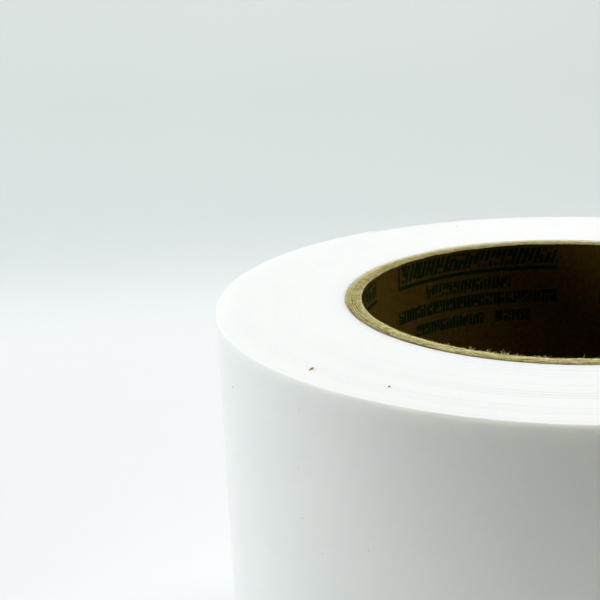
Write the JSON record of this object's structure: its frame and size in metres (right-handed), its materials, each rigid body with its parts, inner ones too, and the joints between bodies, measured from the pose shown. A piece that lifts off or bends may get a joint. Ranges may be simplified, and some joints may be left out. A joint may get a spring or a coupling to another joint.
{
  "type": "roll of adhesive film",
  "caption": "Roll of white adhesive film wound on a cardboard core, standing on end, with a free end that peels back by a folded grip tab.",
  "frame": {"origin": "centre of the core's bore at the roll's lower end face", "axes": "+Z along the core's axis, from the lower end face to the upper one; the free end of the film stops 120 degrees counterclockwise from +X"},
  "size_m": [0.1311, 0.1313, 0.1016],
  "materials": {
    "core_liner": "matte",
    "core_board": "matte",
    "film": "satin"
  },
  "bodies": {
    "roll": {"core_ply_1": "core_liner", "core_ply_2": "core_board", "core_ply_3": "core_board", "core_ply_4": "core_board", "core_ply_5": "core_board", "core_ply_6": "core_board", "core_ply_7": "core_board", "wound_film": "film"},
    "tail_1": {"tail_1": "film"},
    "tail_2": {"tail_2": "film"},
    "tail_3": {"tail_3": "film"},
    "tail_4": {"tail_4": "film"},
    "tail_5": {"tail_5": "film"},
    "tail_6": {"tail_6": "film"},
    "tail_7": {"tail_7": "film"},
    "tail_8": {"tail_8": "film"},
    "tail_9": {"tail_9": "film"},
    "tail_10": {"tail_10": "film", "grip_tab": "film"}
  },
  "joints": [
    {"name": "peel_1", "type": "hinge", "parent": "roll", "child": "tail_1", "pos_m": [0.03761, 0.05387, 0], "axis": [0, 0, -1], "range_deg": [0, 14]},
    {"name": "peel_2", "type": "hinge", "parent": "tail_1", "child": "tail_2", "pos_m": [0.03233, 0.05721, 0], "axis": [0, 0, -1], "range_deg": [0, 14]},
    {"name": "peel_3", "type": "hinge", "parent": "tail_2", "child": "tail_3", "pos_m": [0.02676, 0.06003, 0], "axis": [0, 0, -1], "range_deg": [0, 14]},
    {"name": "peel_4", "type": "hinge", "parent": "tail_3", "child": "tail_4", "pos_m": [0.02094, 0.06231, 0], "axis": [0, 0, -1], "range_deg": [0, 14]},
    {"name": "peel_5", "type": "hinge", "parent": "tail_4", "child": "tail_5", "pos_m": [0.01493, 0.06402, 0], "axis": [0, 0, -1], "range_deg": [0, 14]},
    {"name": "peel_6", "type": "hinge", "parent": "tail_5", "child": "tail_6", "pos_m": [0.00879, 0.06516, 0], "axis": [0, 0, -1], "range_deg": [0, 14]},
    {"name": "peel_7", "type": "hinge", "parent": "tail_6", "child": "tail_7", "pos_m": [0.00256, 0.06571, 0], "axis": [0, 0, -1], "range_deg": [0, 14]},
    {"name": "peel_8", "type": "hinge", "parent": "tail_7", "child": "tail_8", "pos_m": [-0.00368, 0.06566, 0], "axis": [0, 0, -1], "range_deg": [0, 14]},
    {"name": "peel_9", "type": "hinge", "parent": "tail_8", "child": "tail_9", "pos_m": [-0.0099, 0.06502, 0], "axis": [0, 0, -1], "range_deg": [0, 14]},
    {"name": "peel_10", "type": "hinge", "parent": "tail_9", "child": "tail_10", "pos_m": [-0.01603, 0.06379, 0], "axis": [0, 0, -1], "range_deg": [0, 14]}
  ],
  "couplings": [
    {"joint": "peel_2", "follows": "peel_1", "ratio": 1},
    {"joint": "peel_3", "follows": "peel_1", "ratio": 1},
    {"joint": "peel_4", "follows": "peel_1", "ratio": 1},
    {"joint": "peel_5", "follows": "peel_1", "ratio": 1},
    {"joint": "peel_6", "follows": "peel_1", "ratio": 1},
    {"joint": "peel_7", "follows": "peel_1", "ratio": 1},
    {"joint": "peel_8", "follows": "peel_1", "ratio": 1},
    {"joint": "peel_9", "follows": "peel_1", "ratio": 1},
    {"joint": "peel_10", "follows": "peel_1", "ratio": 1}
  ]
}
